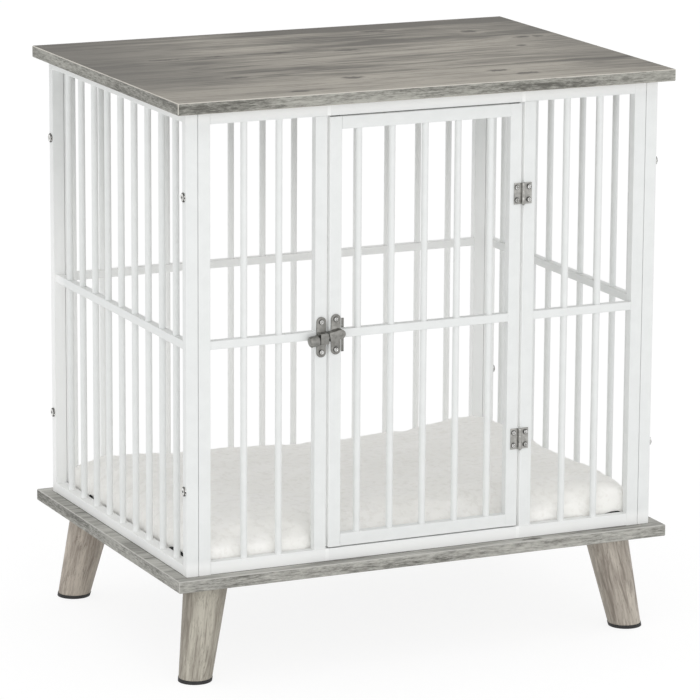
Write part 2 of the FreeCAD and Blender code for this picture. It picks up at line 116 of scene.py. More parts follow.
def between(tree, value, start, end):
    # smooth step: 0 at start, 1 at end
    node = addNode(tree, "ShaderNodeMapRange", interpolation_type="SMOOTHSTEP")
    feed(tree, node.inputs["Value"], value)
    feed(tree, node.inputs["From Min"], start)
    feed(tree, node.inputs["From Max"], end)
    return node.outputs["Result"]


def spotsOf(tree, value, start, end, depth):
    # 0 where a value is at start, a given depth where it is at end
    return calc(tree, "MULTIPLY", between(tree, value, start, end), depth)


def blendColour(tree, factor, first, second):
    node = addNode(tree, "ShaderNodeMix", data_type="RGBA")
    feed(tree, node.inputs[0], factor)
    feed(tree, node.inputs[6], first)
    feed(tree, node.inputs[7], second)
    return node.outputs[2]


def stretched(tree, vector, scale, shift=(0, 0, 0)):
    node = addNode(tree, "ShaderNodeMapping", Scale=scale, Location=shift)
    feed(tree, node.inputs["Vector"], vector)
    return node.outputs[0]


def noiseOf(tree, vector, scale=1.0, detail=3.0, rough=0.55):
    node = addNode(tree, "ShaderNodeTexNoise", Scale=scale, Detail=detail, Roughness=rough)
    feed(tree, node.inputs["Vector"], vector)
    return node.outputs["Fac"]


def splitVector(tree, vector):
    node = tree.nodes.new("ShaderNodeSeparateXYZ")
    tree.links.new(vector, node.inputs[0])
    return node.outputs


def joinVector(tree, x=0.0, y=0.0, z=0.0):
    node = tree.nodes.new("ShaderNodeCombineXYZ")
    for socket, value in zip(node.inputs, (x, y, z)):
        feed(tree, socket, value)
    return node.outputs[0]


def mixShaders(tree, factor, first, second):
    mix = tree.nodes.new("ShaderNodeMixShader")
    for socket, value in zip(mix.inputs, (factor, first.outputs[0], second.outputs[0])):
        feed(tree, socket, value)
    return mix.outputs[0]


def colourSteps(tree, factor, steps):
    ramp = tree.nodes.new("ShaderNodeValToRGB")
    elements = ramp.color_ramp.elements
    elements[0].position, elements[0].color = steps[0][0], (*steps[0][1], 1)
    elements[1].position, elements[1].color = steps[-1][0], (*steps[-1][1], 1)
    for place, colour in steps[1:-1]:
        elements.new(place).color = (*colour, 1)
    feed(tree, ramp.inputs["Fac"], factor)
    return ramp.outputs["Color"]


# White studio: the floor looks white and keeps a faint shadow
room = {"skyLevel": 0.89, "floorTone": 0.95, "floorSize": 14.0, "floorLevel": -0.0005,
        "floorGlow": 0.86, "floorShade": 0.17, "lampAim": (0, 0, 0.35),
        "frontLamp": 17.0, "frontPlace": (-0.3, -4.2, 1.5), "frontSize": 3.0,
        "sideLamp": 14.0, "sidePlace": (-3.0, -3.6, 1.4), "sideSize": 1.6}


def whiteWhereSeen(tree):
    path = tree.nodes.new("ShaderNodeLightPath")
    return calc(tree, "MAXIMUM", path.outputs["Is Camera Ray"],
                calc(tree, "MAXIMUM", path.outputs["Is Glossy Ray"],
                     path.outputs["Is Transmission Ray"]))


def makeRoom(setup):
    world = bpy.data.worlds.new("studio")
    scene.world = world
    world.use_nodes = True
    tree = world.node_tree
    tree.nodes.clear()
    out = tree.nodes.new("ShaderNodeOutputWorld")
    light = addNode(tree, "ShaderNodeBackground", Color=(1, 1, 1), Strength=setup["skyLevel"])
    white = addNode(tree, "ShaderNodeBackground", Color=(1, 1, 1), Strength=1.0)
    feed(tree, out.inputs[0], mixShaders(tree, whiteWhereSeen(tree), light, white))

    bpy.ops.mesh.primitive_plane_add(size=setup["floorSize"],
                                     location=(0, 0, setup["floorLevel"]))
    floor = bpy.context.object
    floor.name = "studioFloor"
    bpy.ops.object.transform_apply(location=True)
    paper = bpy.data.materials.new("floorPaper")
    paper.use_nodes = True
    tree = paper.node_tree
    tree.nodes.clear()
    out = tree.nodes.new("ShaderNodeOutputMaterial")
    tone, shade = setup["floorTone"], setup["floorShade"]
    real = addNode(tree, "ShaderNodeBsdfDiffuse", Color=(tone, tone, tone))
    faint = addNode(tree, "ShaderNodeBsdfDiffuse", Color=(shade, shade, shade))
    glow = addNode(tree, "ShaderNodeEmission", Color=(1, 1, 1), Strength=setup["floorGlow"])
    seen = tree.nodes.new("ShaderNodeAddShader")
    feed(tree, seen.inputs[0], faint.outputs[0])
    feed(tree, seen.inputs[1], glow.outputs[0])
    feed(tree, out.inputs[0], mixShaders(tree, whiteWhereSeen(tree), real, seen))
    floor.data.materials.append(paper)

    for name in ("front", "side"):
        data = bpy.data.lights.new(name + "Lamp", "AREA")
        data.shape = "SQUARE"
        data.size = setup[name + "Size"]
        data.energy = setup[name + "Lamp"]
        lamp = bpy.data.objects.new(name + "Lamp", data)
        lamp.location = setup[name + "Place"]
        towards = Vector(setup["lampAim"]) - lamp.location
        lamp.rotation_euler = towards.to_track_quat("-Z", "Y").to_euler()
        scene.collection.objects.link(lamp)


makeRoom(room)
scene.view_settings.view_transform = "Standard"
print("camera and room ready")


def makeGroup(name, inputs, outputs):
    group = bpy.data.node_groups.new(name, "ShaderNodeTree")
    kinds = {"v": "NodeSocketVector", "f": "NodeSocketFloat"}
    for title, kind in inputs:
        group.interface.new_socket(title, in_out="INPUT", socket_type=kinds[kind])
    for title in outputs:
        group.interface.new_socket(title, in_out="OUTPUT", socket_type=kinds["f"])
    return (group, group.nodes.new("NodeGroupInput").outputs,
            group.nodes.new("NodeGroupOutput").inputs)


def useGroup(tree, group, **values):
    node = tree.nodes.new("ShaderNodeGroup")
    node.node_tree = group
    for name, value in values.items():
        feed(tree, node.inputs[name], value)
    return node.outputs


# Layers of wood grain, from broad to fine: stretch, shift, detail and roughness
woodLayers = {"Tone": ((2.6, 24, 24), (0, 0, 0), 3.0, 0.55),
              "Streak": ((6.5, 90, 90), (3, 0, 0), 4.0, 0.62),
              "Line": ((11, 240, 240), (0, 5, 0), 3.0, 0.6),
              "Pore": ((60, 900, 900), (0, 0, 9), 2.0, 0.5)}
knotShape = {"raggedScale": 110.0, "ragged": 1.1, "haloFall": 0.35, "heart": (0.80, 0.25),
             "push": 0.8}
lineShape = {"wanderScale": (14, 3, 3), "wander": 0.012, "fade": 0.05}


def woodGrainGroup(layers):
    # grain along X of the vector that comes in, in metres
    group, given, result = makeGroup("woodGrain", [("Vector", "v"), ("Bend", "f")],
                                     list(layers))
    vector = given["Vector"]
    slow = calc(group, "SUBTRACT", noiseOf(group, stretched(group, vector, (2.4, 9, 9))), 0.5)
    sway = calc(group, "MULTIPLY", slow, given["Bend"])
    bent = vectorCalc(group, "ADD", vector, joinVector(group, 0.0, sway, sway))
    for title, (scale, shift, detail, rough) in layers.items():
        feed(group, result[title], noiseOf(group, stretched(group, bent, scale, shift), 1.0,
                                           detail, rough))
    return group


def knotGroup(shape):
    # one knot: it pushes the grain lines apart and has a dark heart
    group, given, result = makeGroup("knot", [("Vector", "v"), ("Centre", "v"), ("Size", "v")],
                                     ["Push", "Heart", "Halo"])
    near = vectorCalc(group, "SUBTRACT", given["Vector"], given["Centre"])
    ragged = calc(group, "SUBTRACT",
                  noiseOf(group, given["Vector"], shape["raggedScale"]), 0.5)
    near = vectorCalc(group, "DIVIDE", near, given["Size"])
    near = vectorCalc(group, "MULTIPLY", near, (1, 1, 0))
    sides = splitVector(group, near)
    away = calc(group, "ADD", vectorCalc(group, "LENGTH", near, (0, 0, 0)),
                calc(group, "MULTIPLY", ragged, shape["ragged"]))
    halo = calc(group, "POWER", shape["haloFall"], calc(group, "MULTIPLY", away, away))
    size = splitVector(group, given["Size"])
    push = calc(group, "MULTIPLY", calc(group, "MULTIPLY", sides["Y"], halo), size["Y"])
    feed(group, result["Push"], calc(group, "MULTIPLY", push, shape["push"]))
    feed(group, result["Heart"], between(group, away, *shape["heart"]))
    feed(group, result["Halo"], halo)
    return group


def boardLineGroup(shape):
    # a thin dark line along the grain, between two places on X
    group, given, result = makeGroup(
        "boardLine", [("Vector", "v"), ("Level", "f"), ("Start", "f"), ("End", "f"),
                      ("Width", "f")], ["Mask"])
    place = splitVector(group, given["Vector"])
    wander = noiseOf(group, stretched(group, given["Vector"], shape["wanderScale"]), 1.0, 4.0)
    off = calc(group, "SUBTRACT", addSwing(group, wander, shape["wander"], place["Y"]),
               given["Level"])
    thin = between(group, calc(group, "ABSOLUTE", off), given["Width"], 0.0)
    fade = calc(group, "MULTIPLY",
                between(group, place["X"], given["Start"],
                        calc(group, "ADD", given["Start"], shape["fade"])),
                between(group, place["X"], given["End"],
                        calc(group, "SUBTRACT", given["End"], shape["fade"])))
    feed(group, result["Mask"], calc(group, "MULTIPLY", thin, fade))
    return group


def speckleGroup():
    # fine unevenness of a coat or a woven surface, and patches about 17 times as large
    group, given, result = makeGroup("speckle", [("Vector", "v"), ("Size", "f")],
                                     ["Fine", "Broad"])
    feed(group, result["Fine"], noiseOf(group, given["Vector"], given["Size"], 2.0))
    feed(group, result["Broad"], noiseOf(group, given["Vector"], calc(
        group, "MULTIPLY", given["Size"], 0.06), 4.0, 0.6))
    return group


woodGrain = woodGrainGroup(woodLayers)
knot = knotGroup(knotShape)
boardLine = boardLineGroup(lineShape)
speckle = speckleGroup()
print("shared grain, knot, line and speckle ready")


def startMaterial(name, metallic=0.0, roughness=0.5):
    material = bpy.data.materials.new(name)
    material.use_nodes = True
    tree = material.node_tree
    shader = tree.nodes["Principled BSDF"]
    shader.inputs["Metallic"].default_value = metallic
    shader.inputs["Roughness"].default_value = roughness
    place = tree.nodes.new("ShaderNodeTexCoord").outputs["Object"]
    return material, tree, shader, place


def bumpFrom(tree, shader, height, strength, distance):
    bump = addNode(tree, "ShaderNodeBump", Strength=strength, Distance=distance, Height=height)
    feed(tree, shader.inputs["Normal"], bump.outputs[0])


# Wood-look boards. Knots: place and size; lines: level, start, end, width, depth of tone;
# planks: level, start on X, which side of the level (1 is behind), depth of tone; ends and
# frontLift: from, to, depth; swings: how strongly each layer of the print shows;
# pores and cracks: from, to, depth
topLaminate = {
    "light": srgb(164, 158, 147), "mid": srgb(137, 132, 122), "dark": srgb(92, 88, 80),
    "knot": srgb(64, 59, 52), "bandLight": srgb(178, 177, 169), "bandMid": srgb(150, 149, 142),
    "bandDark": srgb(96, 95, 89), "edgeHighlightColour": srgb(214, 210, 201), "edgeHighlightWidth": 0.0008,
    "roughness": 0.55, "specular": 0.28, "level": 0.685, "contactShade": 0.0,
    "knots": [(0.115, 0.178, 0.030, 0.011), (0.225, 0.130, 0.016, 0.014),
              (-0.062, 0.064, 0.014, 0.009), (0.022, 0.052, 0.024, 0.010),
              (-0.147, 0.066, 0.018, 0.007), (-0.187, -0.090, 0.024, 0.010),
              (-0.060, -0.140, 0.022, 0.012), (0.120, -0.158, 0.020, 0.011),
              (0.145, -0.188, 0.026, 0.010), (-0.158, -0.206, 0.020, 0.009),
              (0.265, 0.066, 0.020, 0.010), (0.235, 0.004, 0.012, 0.008),
              (-0.215, 0.066, 0.030, 0.008), (0.288, 0.064, 0.012, 0.009)],
    "lines": [(-0.122, 0.05, 0.36, 0.0045, 0.75), (-0.130, -0.29, -0.13, 0.0040, 0.55),
              (0.068, -0.36, -0.11, 0.0045, 0.45), (0.081, -0.06, 0.17, 0.0050, 0.50),
              (0.200, -0.30, 0.02, 0.0060, 0.40), (-0.045, 0.02, 0.20, 0.0035, 0.30),
              (-0.098, -0.30, -0.08, 0.0040, 0.40)],
    "planks": [(0.190, -0.9, 1, 0.34), (0.081, -0.10, 1, 0.26), (-0.122, 0.13, -1, 0.26)],
    "leftEnd": (-0.08, -0.31, 0.74), "rightEnd": (0.20, 0.32, 0.44), "endDark": srgb(90, 87, 80),
    "frontLift": (-0.08, -0.18, 0.30), "frontFade": 0.7, "knotSize": 1.15, "bend": 0.035,
    "swings": {"Tone": 1.2, "Patch": 1.2, "Streak": 1.5, "Line": 1.4},
    "patchScale": (5, 13, 13), "patchShift": (2, 4, 0), "faceAt": (0.05, 0.46, 0.85),
    "plankWander": 0.018, "plankSoft": 0.004, "plankFade": 0.14, "halo": 0.24, "heart": 0.85,
    "pores": (0.42, 0.30, 0.45), "cracks": (0.385, 0.30, 0.55),
    "bandScale": (75, 75, 560), "bandPatch": (5, 5, 60), "bandAt": (0.34, 0.50, 0.64),
    "highlightWidthSwing": 0.0006, "lowerEdgeHighlight": 0.1, "roughSwing": 0.2, "bump": (0.3, 0.0004)}
baseLaminate = dict(topLaminate, level=0.125, contactShade=0.6, edgeHighlightColour=srgb(196, 195, 190),
                    light=srgb(190, 189, 183), mid=srgb(166, 165, 159), dark=srgb(126, 125, 120),
                    bandLight=srgb(186, 185, 178), bandMid=srgb(154, 153, 147),
                    leftEnd=(-0.14, -0.33, 0.0), rightEnd=(0.22, 0.33, 0.1),
                    frontLift=(-0.09, -0.19, 0.0),
                    knots=[(-0.210, 0.226, 0.02, 0.006), (0.140, -0.226, 0.02, 0.006)],
                    lines=[(-0.224, -0.20, 0.10, 0.003, 0.4)], planks=[])
# The boards' size, the cage's outline on them, and where the painted contact shade's dark line
# fades out
boardSize = {"halfX": 0.320, "halfY": 0.2325, "halfThick": 0.007, "upperEdge": (-0.0065, -0.005),
             "cageX": 0.3045, "cageY": 0.217, "contactShadeOuter": (0.0016, 0.0002),
             "contactShadeInner": (-0.0030, -0.0004)}


def printTone(tree, layers, swings):
    # how light the print is, from its layers
    tone = 0.5
    for title, swing in swings.items():
        tone = addSwing(tree, layers[title], swing, tone)
    return tone


def laminateMaterial(name, setup, size):
    material, tree, shader, place = startMaterial(name, roughness=setup["roughness"])
    shader.inputs["Specular IOR Level"].default_value = setup["specular"]
    at = splitVector(tree, place)
    grow = setup["knotSize"]
    push = heart = halo = 0.0
    for x, y, length, width in setup["knots"]:
        oneKnot = useGroup(tree, knot, Vector=place, Centre=(x, y, 0),
                           Size=(length * grow, width * grow, 1))
        push = calc(tree, "ADD", push, oneKnot["Push"])
        heart = calc(tree, "MAXIMUM", heart, oneKnot["Heart"])
        halo = calc(tree, "MAXIMUM", halo, oneKnot["Halo"])
    along = vectorCalc(tree, "SUBTRACT", place, joinVector(tree, 0.0, push, 0.0))
    grain = useGroup(tree, woodGrain, Vector=along, Bend=setup["bend"])

    # tone: the print's layers, then planks, a lighter strip along the front and the knots'
    # surroundings
    patch = noiseOf(tree, stretched(tree, place, setup["patchScale"], setup["patchShift"]),
                    1.0, 3.0)
    tone = printTone(tree, {"Tone": grain["Tone"], "Patch": patch, "Streak": grain["Streak"],
                            "Line": grain["Line"]}, setup["swings"])
    wander = noiseOf(tree, stretched(tree, place, (5, 2, 2)))
    level = addSwing(tree, wander, setup["plankWander"], at["Y"])
    for edge, start, side, depth in setup["planks"]:
        soft = side * setup["plankSoft"]
        mask = calc(tree, "MULTIPLY", between(tree, level, edge - soft, edge + soft),
                    between(tree, at["X"], start, start + setup["plankFade"]))
        tone = calc(tree, "MULTIPLY_ADD", mask, -depth, tone)
    start, end, lift = setup["frontLift"]
    front = between(tree, at["Y"], start, end)
    tone = calc(tree, "MULTIPLY_ADD", front, lift, tone)
    tone = calc(tree, "MULTIPLY_ADD", halo, setup["halo"], tone)
    face = colourSteps(tree, tone, list(zip(setup["faceAt"], (
        setup["dark"], setup["mid"], setup["light"]))))
    for start, end, depth in (setup["leftEnd"], setup["rightEnd"]):
        shade = calc(tree, "MULTIPLY", between(tree, at["X"], start, end),
                     calc(tree, "MULTIPLY_ADD", front, -setup["frontFade"] * depth, depth))
        face = blendColour(tree, shade, face, setup["endDark"])
    marks = calc(tree, "MULTIPLY", heart, setup["heart"])
    for lineLevel, start, end, width, depth in setup["lines"]:
        mask = useGroup(tree, boardLine, Vector=place, Level=lineLevel, Start=start, End=end,
                        Width=width)["Mask"]
        marks = calc(tree, "MAXIMUM", marks, calc(tree, "MULTIPLY", mask, depth))
    marks = calc(tree, "MAXIMUM", marks, spotsOf(tree, grain["Pore"], *setup["pores"]))
    marks = calc(tree, "MAXIMUM", marks, spotsOf(tree, grain["Line"], *setup["cracks"]))
    face = blendColour(tree, marks, face, setup["knot"])

    # edge band: short streaks along the edge. Near: how far inside the board's six faces
    near = [calc(tree, "SUBTRACT", half, calc(tree, "ABSOLUTE", value)) for half, value in (
        (size["halfX"], at["X"]), (size["halfY"], at["Y"]),
        (size["halfThick"], calc(tree, "SUBTRACT", at["Z"], setup["level"])))]
    short = noiseOf(tree, stretched(tree, place, setup["bandScale"]), 1.0, 5.0, 0.78)
    broad = noiseOf(tree, stretched(tree, place, setup["bandPatch"]), 1.0, 2.0)
    band = colourSteps(tree, addSwing(tree, broad, 0.6, short), list(zip(setup["bandAt"], (
        setup["bandDark"], setup["bandMid"], setup["bandLight"]))))
    nearSide = calc(tree, "MINIMUM", near[0], near[1])
    onFace = calc(tree, "LESS_THAN", near[2], nearSide)
    colour = blendColour(tree, onFace, band, face)

    # painted highlight: a pale line where two faces of the board meet, weaker along the lower
    # edges; noise swings its width
    second = calc(tree, "MAXIMUM", nearSide,
                  calc(tree, "MINIMUM", calc(tree, "MAXIMUM", near[0], near[1]), near[2]))
    highlightReach = calc(tree, "MULTIPLY_ADD", noiseOf(tree, place, 60.0), setup["highlightWidthSwing"],
                setup["edgeHighlightWidth"] - setup["highlightWidthSwing"] / 2)
    edgeHighlight = calc(tree, "LESS_THAN", second, highlightReach)
    lower, upper = [setup["level"] + height for height in size["upperEdge"]]
    edgeHighlight = calc(tree, "MULTIPLY", edgeHighlight, calc(
        tree, "MULTIPLY_ADD", between(tree, at["Z"], lower, upper), 0.85, setup["lowerEdgeHighlight"]))
    colour = blendColour(tree, edgeHighlight, colour, setup["edgeHighlightColour"])

    # painted shade: a dark line, in the knot colour, where the cage stands on the board. Beyond:
    # how far outside the cage
    beyond = calc(tree, "MAXIMUM",
                  calc(tree, "SUBTRACT", calc(tree, "ABSOLUTE", at["X"]), size["cageX"]),
                  calc(tree, "SUBTRACT", calc(tree, "ABSOLUTE", at["Y"]), size["cageY"]))
    contactShade = calc(tree, "MULTIPLY", between(tree, beyond, *size["contactShadeOuter"]),
                 between(tree, beyond, *size["contactShadeInner"]))
    contactShade = calc(tree, "MULTIPLY", contactShade, setup["contactShade"])
    colour = blendColour(tree, contactShade, colour, setup["knot"])
    feed(tree, shader.inputs["Base Color"], colour)
    feed(tree, shader.inputs["Roughness"],
         calc(tree, "MULTIPLY_ADD", grain["Pore"], setup["roughSwing"],
              setup["roughness"] - setup["roughSwing"] / 2))
    bumpFrom(tree, shader, calc(tree, "MULTIPLY_ADD", grain["Pore"], 0.5, grain["Line"]),
             *setup["bump"])
    return material


# Stained wooden legs; the grain follows each leg's splay
legWood = {"light": srgb(199, 193, 181), "mid": srgb(174, 167, 156), "dark": srgb(140, 132, 122),
           "knot": srgb(112, 104, 95), "roughness": 0.55, "splayX": 21.5 / 118,
           "splayY": 16.0 / 118, "top": 0.118, "grainScale": (1.6, 1.5, 1.5), "bend": 0.07,
           "swings": {"Tone": 1.6, "Streak": 1.3, "Line": 1.3}, "toneAt": (0.12, 0.48, 0.84),
           "pores": (0.45, 0.32, 0.55), "cracks": (0.40, 0.30, 0.5), "bump": (0.35, 0.0005),
           # tints: painted light and shade, each leg's copy of one wood made lighter or darker,
           # with a slight shift in hue
           "shadeTints": {"front_left": (0.92, 0.93, 0.91), "front_right": (1.03, 1.01, 1.01),
                     "back_left": (0.96, 0.92, 0.91), "back_right": (0.97, 0.94, 0.93)}}


def legMaterial(where, setup):
    sideX = -1 if where.endswith("left") else 1
    sideY = -1 if where.startswith("front") else 1
    material, tree, shader, place = startMaterial("legWood_" + where,
                                                  roughness=setup["roughness"])
    at = splitVector(tree, place)
    drop = calc(tree, "SUBTRACT", setup["top"], at["Z"])
    level = joinVector(
        tree, drop,
        calc(tree, "MULTIPLY_ADD", drop, -sideX * setup["splayX"], at["X"]),
        calc(tree, "MULTIPLY_ADD", drop, -sideY * setup["splayY"], at["Y"]))
    grain = useGroup(tree, woodGrain, Vector=stretched(tree, level, setup["grainScale"]),
                     Bend=setup["bend"])
    tone = printTone(tree, grain, setup["swings"])
    shadeTint = setup["shadeTints"][where]
    colours = [tuple(c * t for c, t in zip(setup[key], shadeTint)) for key in ("dark", "mid", "light")]
    colour = colourSteps(tree, tone, list(zip(setup["toneAt"], colours)))
    marks = calc(tree, "MAXIMUM", spotsOf(tree, grain["Pore"], *setup["pores"]),
                 spotsOf(tree, grain["Line"], *setup["cracks"]))
    colour = blendColour(tree, marks, colour, setup["knot"])
    feed(tree, shader.inputs["Base Color"], colour)
    bumpFrom(tree, shader, calc(tree, "MULTIPLY_ADD", grain["Pore"], 0.5, grain["Line"]),
             *setup["bump"])
    return material


# Coated and plated steel, rubber and the dark cloth
powderCoat = {"main": srgb(234, 236, 235), "other": srgb(228, 230, 229), "metallic": 0.0,
              "roughness": 0.42, "grain": 900.0, "bump": 0.10, "mottle": 0.5}
# Painted light: the coat is painted a little lighter, as if much light fell on it, near the
# boards (levels), low on the back frame (places on Y and levels), and in the door's side gaps
# (middle and half width on X, farthest Y), where it also glows faintly
paintedCoatLight = {"colour": srgb(247, 248, 247), "low": (0.153, 0.141), "high": (0.660, 0.674),
            "back": (0.17, 0.20), "backTop": (0.60, 0.40),
            "gapMiddle": 0.1256, "gapHalf": 0.0021, "gapFront": -0.19, "glow": 0.045}
nickelPlate = {"main": srgb(150, 149, 145), "other": srgb(128, 127, 123), "metallic": 1.0,
               "roughness": 0.32, "grain": 3600.0, "bump": 0.20, "mottle": 0.9}
hingePlate = dict(nickelPlate, main=srgb(180, 179, 175), other=srgb(154, 153, 149))
# painted shade: darker nickel for the hardware's rounded edges, a dark rim
paintedRimShade = dict(nickelPlate, main=srgb(124, 123, 119), other=srgb(98, 97, 94))
brightScrew = dict(nickelPlate, main=srgb(240, 240, 238), other=srgb(170, 169, 165),
                   roughness=0.24)
# painted shade: dark metal for the screws' recesses
recessShadeMetal = dict(nickelPlate, main=srgb(96, 95, 92), other=srgb(60, 60, 58), metallic=0.6)
blackRubber = {"main": srgb(30, 30, 30), "other": srgb(44, 44, 43), "metallic": 0.0,
               "roughness": 0.62, "grain": 1400.0, "bump": 0.30, "mottle": 0.6}
blackCloth = {"main": srgb(22, 22, 23), "other": srgb(36, 36, 37), "metallic": 0.0,
              "roughness": 0.9, "grain": 2000.0, "bump": 0.5, "mottle": 0.7}
# The same for all of them: where the second colour shows, and how fine the relief is
coatSpread = {"patches": (0.34, 0.66), "roughSwing": 0.14, "bumpDepth": 0.0002}


def coatedMaterial(name, setup, spread):
    material, tree, shader, place = startMaterial(name, setup["metallic"], setup["roughness"])
    spots = useGroup(tree, speckle, Vector=place, Size=setup["grain"])
    mix = spotsOf(tree, spots["Broad"], *spread["patches"], setup["mottle"])
    feed(tree, shader.inputs["Base Color"],
         blendColour(tree, mix, setup["main"], setup["other"]))
    feed(tree, shader.inputs["Roughness"],
         calc(tree, "MULTIPLY_ADD", spots["Fine"], spread["roughSwing"],
              setup["roughness"] - spread["roughSwing"] / 2))
    bumpFrom(tree, shader, spots["Fine"], setup["bump"], spread["bumpDepth"])
    return material


def paintLightOnCoat(material, lift):
    tree = material.node_tree
    shader = tree.nodes["Principled BSDF"]
    at = splitVector(tree, tree.nodes["Texture Coordinate"].outputs["Object"])
    # painted light: a lighter coat near the boards and low on the back frame
    ends = calc(tree, "MAXIMUM", between(tree, at["Z"], *lift["low"]),
                between(tree, at["Z"], *lift["high"]))
    back = calc(tree, "MULTIPLY", between(tree, at["Y"], *lift["back"]),
                between(tree, at["Z"], *lift["backTop"]))
    ends = calc(tree, "MAXIMUM", ends, back)
    # painted light: the door's side gaps
    away = calc(tree, "SUBTRACT", calc(tree, "ABSOLUTE", at["X"]), lift["gapMiddle"])
    gap = calc(tree, "MULTIPLY", calc(tree, "LESS_THAN", at["Y"], lift["gapFront"]),
               calc(tree, "LESS_THAN", calc(tree, "ABSOLUTE", away), lift["gapHalf"]))
    plain = shader.inputs["Base Color"].links[0].from_socket
    feed(tree, shader.inputs["Base Color"],
         blendColour(tree, calc(tree, "MAXIMUM", ends, gap), plain, lift["colour"]))
    # painted light: the gaps glow faintly, though no lamp is there
    feed(tree, shader.inputs["Emission Color"],
         blendColour(tree, gap, (0.0, 0.0, 0.0), lift["colour"]))
    shader.inputs["Emission Strength"].default_value = lift["glow"]


# Plush. Tufts and pile: scale, detail, roughness; shade: painted shade in the hollows where tufts
# are low, and its depth
plushCloth = {"light": srgb(255, 254, 251), "mid": srgb(251, 250, 246),
              "hollowShade": srgb(236, 234, 229), "roughness": 0.95, "sheen": 0.4,
              "sheenRoughness": 0.5, "tufts": (130.0, 4.0, 0.6), "pile": (950.0, 2.0, 0.6),
              "crushedScale": (14, 20, 14), "crushed": (0.36, 0.62),
              "shade": (0.52, 0.34, 0.45), "pileShare": 0.35, "bump": (0.40, 0.0014)}


def plushMaterial(setup):
    material, tree, shader, place = startMaterial("plush", roughness=setup["roughness"])
    tufts = noiseOf(tree, place, *setup["tufts"])
    pile = noiseOf(tree, place, *setup["pile"])
    crushed = noiseOf(tree, stretched(tree, place, setup["crushedScale"]), 1.0, 5.0, 0.62)
    colour = blendColour(tree, between(tree, crushed, *setup["crushed"]), setup["light"],
                         setup["mid"])
    # painted shade: the hollow colour where tufts are low
    colour = blendColour(tree, spotsOf(tree, tufts, *setup["shade"]), colour, setup["hollowShade"])
    feed(tree, shader.inputs["Base Color"], colour)
    shader.inputs["Sheen Weight"].default_value = setup["sheen"]
    shader.inputs["Sheen Roughness"].default_value = setup["sheenRoughness"]
    height = calc(tree, "MULTIPLY_ADD", pile, setup["pileShare"], tufts)
    bumpFrom(tree, shader, height, *setup["bump"])
    return material


laminateTop = laminateMaterial("laminateTop", topLaminate, boardSize)
laminateBase = laminateMaterial("laminateBase", baseLaminate, boardSize)
whiteSteel = coatedMaterial("whiteSteel", powderCoat, coatSpread)
paintLightOnCoat(whiteSteel, paintedCoatLight)
nickel = coatedMaterial("nickel", nickelPlate, coatSpread)
hingeNickel = coatedMaterial("hingeNickel", hingePlate, coatSpread)
nickelRimShade = coatedMaterial("nickelRimShade", paintedRimShade, coatSpread)
screwSteel = coatedMaterial("screwSteel", brightScrew, coatSpread)
paintedRecessShade = coatedMaterial("paintedRecessShade", recessShadeMetal, coatSpread)
rubber = coatedMaterial("rubber", blackRubber, coatSpread)
darkCloth = coatedMaterial("darkCloth", blackCloth, coatSpread)
plush = plushMaterial(plushCloth)


def dress(name, material):
    node = nodes[name]
    if not node.material_slots:
        node.data.materials.append(material)
    for materialSlot in node.material_slots:
        materialSlot.material = material


for name in nodes:
    if name in ("top_board", "base_board"):
        dress(name, laminateTop if name == "top_board" else laminateBase)
    elif name.startswith("foot_pad"):
        dress(name, rubber)
    elif name.endswith(("_screws", "_bolts", "_nuts")):
        dress(name, screwSteel)
    elif name.startswith(("hinge", "latch")) or name == "door_stop_plate":
        dress(name, nickel)
    elif name.startswith("leg_"):
        dress(name, legMaterial(name.removeprefix("leg_"), legWood))
    elif name.startswith("cushion"):
        dress(name, darkCloth)
    else:
        dress(name, whiteSteel)
print("materials ready")


def selectOnly(piece):
    bpy.ops.object.select_all(action="DESELECT")
    piece.select_set(True)
    bpy.context.view_layer.objects.active = piece


def editMode(piece):
    selectOnly(piece)
    bpy.ops.object.mode_set(mode="EDIT")


def pickEdges(piece, test):
    # select edges by their ends, in object mode
    for part in (piece.data.polygons, piece.data.vertices):
        for item in part:
            item.select = False
    for edge in piece.data.edges:
        edge.select = test(edge.vertices)
        if edge.select:
            for index in edge.vertices:
                piece.data.vertices[index].select = True
    bpy.context.tool_settings.mesh_select_mode = (False, True, False)


def applyAll(piece):
    bpy.context.view_layer.objects.active = piece
    for modifier in list(piece.modifiers):
        bpy.ops.object.modifier_apply(modifier=modifier.name)


# Hardware with softened edges, made from the plain parts: width of the rounding in metres
hardware = {
    "latchHousing": ("latch_body", "crate", 0.00035),
    "latchKeeper": ("latch_keeper", "door", 0.00035),
    "latchKnob": ("latch_knob", "latch_bolt", 0.0003),
    "hingeFrameLeaves": ("hinge_leaves_frame", "crate", 0.0002),
    "hingeDoorLeaves": ("hinge_leaves_door", "door", 0.0002),
    "stopPlate": ("door_stop_plate", "crate", 0.0003)}
# Screws: axis, and how far the recess reaches from it
screws = {"frameScrews": ("frame_hardware_screws", "crate", 1, 0.0019),
          "doorScrews": ("door_hardware_screws", "door", 1, 0.0019),
          "panelBolts": ("panel_bolts", "crate", 0, 0.0018)}
recess = {"slack": 1.02, "depth": (0.00005, 0.0016), "flat": 0.99, "rounding": 0.00012}
footPads = {"rounding": 0.0011, "segments": 3}
softEdges = {"sharpFrom": math.radians(40), "smoothBelow": math.radians(35)}


def mergedCopy(nodeName, pieceName):
    piece = bpy.data.objects.new(pieceName, nodes[nodeName].data.copy())
    scene.collection.objects.link(piece)
    piece.data.materials.clear()
    editMode(piece)
    bpy.ops.mesh.select_all(action="SELECT")
    bpy.ops.mesh.remove_doubles(threshold=0.000002)
    bpy.ops.mesh.dissolve_limited(angle_limit=math.radians(1))
    bpy.ops.mesh.normals_make_consistent(inside=False)
    bpy.ops.mesh.select_all(action="DESELECT")
    bpy.ops.object.mode_set(mode="OBJECT")
    return piece


